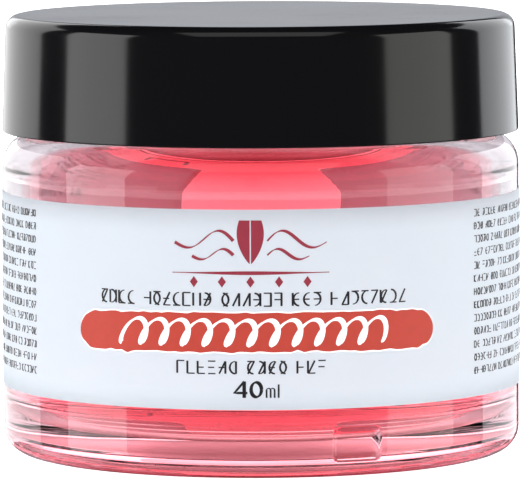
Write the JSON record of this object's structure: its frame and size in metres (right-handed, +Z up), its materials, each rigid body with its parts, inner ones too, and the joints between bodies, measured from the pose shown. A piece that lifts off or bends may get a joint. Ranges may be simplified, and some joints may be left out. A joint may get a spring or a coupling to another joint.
{
  "type": "ink bottle",
  "caption": "Round straight-sided glass ink bottle with a threaded neck, a wrap-around paper label and a smooth double-walled screw cap with a sealing disc.",
  "frame": {"origin": "centre of the circle that the jar stands on, at the table's surface", "axes": "+Z up along the bottle's axis, -Y towards the front of the label, +X to the viewer's right"},
  "size_m": [0.0602, 0.0601, 0.0508],
  "materials": {
    "clear_glass": "clear fire-polished soda-lime glass",
    "red_ink": "rose-red liquid ink, stood in for by a gloss solid",
    "label_paper": "matt coated label paper, very pale blue-grey, printed",
    "black_cap": "high-gloss moulded black plastic",
    "insert_plastic": "as-moulded matt black polypropylene",
    "foam_disc": "closed-cell white foam",
    "sealing_film": "smooth white film"
  },
  "bodies": {
    "jar": {"glass_jar": "clear_glass", "ink_fill": "red_ink", "wrap_label": "label_paper"},
    "liner": {"liner_foam": "foam_disc", "liner_film": "sealing_film"},
    "cap": {"cap_shell": "black_cap", "cap_insert": "insert_plastic"}
  },
  "joints": [
    {"name": "cap_lift", "type": "slide", "parent": "jar", "child": "liner", "axis": [0, 0, 1], "range_m": [0, 0.01272]},
    {"name": "cap_turn", "type": "hinge", "parent": "liner", "child": "cap", "pos_m": [0, 0, 0], "axis": [0, 0, 1], "range_deg": [0, 1080]}
  ],
  "couplings": [
    {"joint": "cap_lift", "follows": "cap_turn", "m_per_rad": 0.00067375}
  ]
}
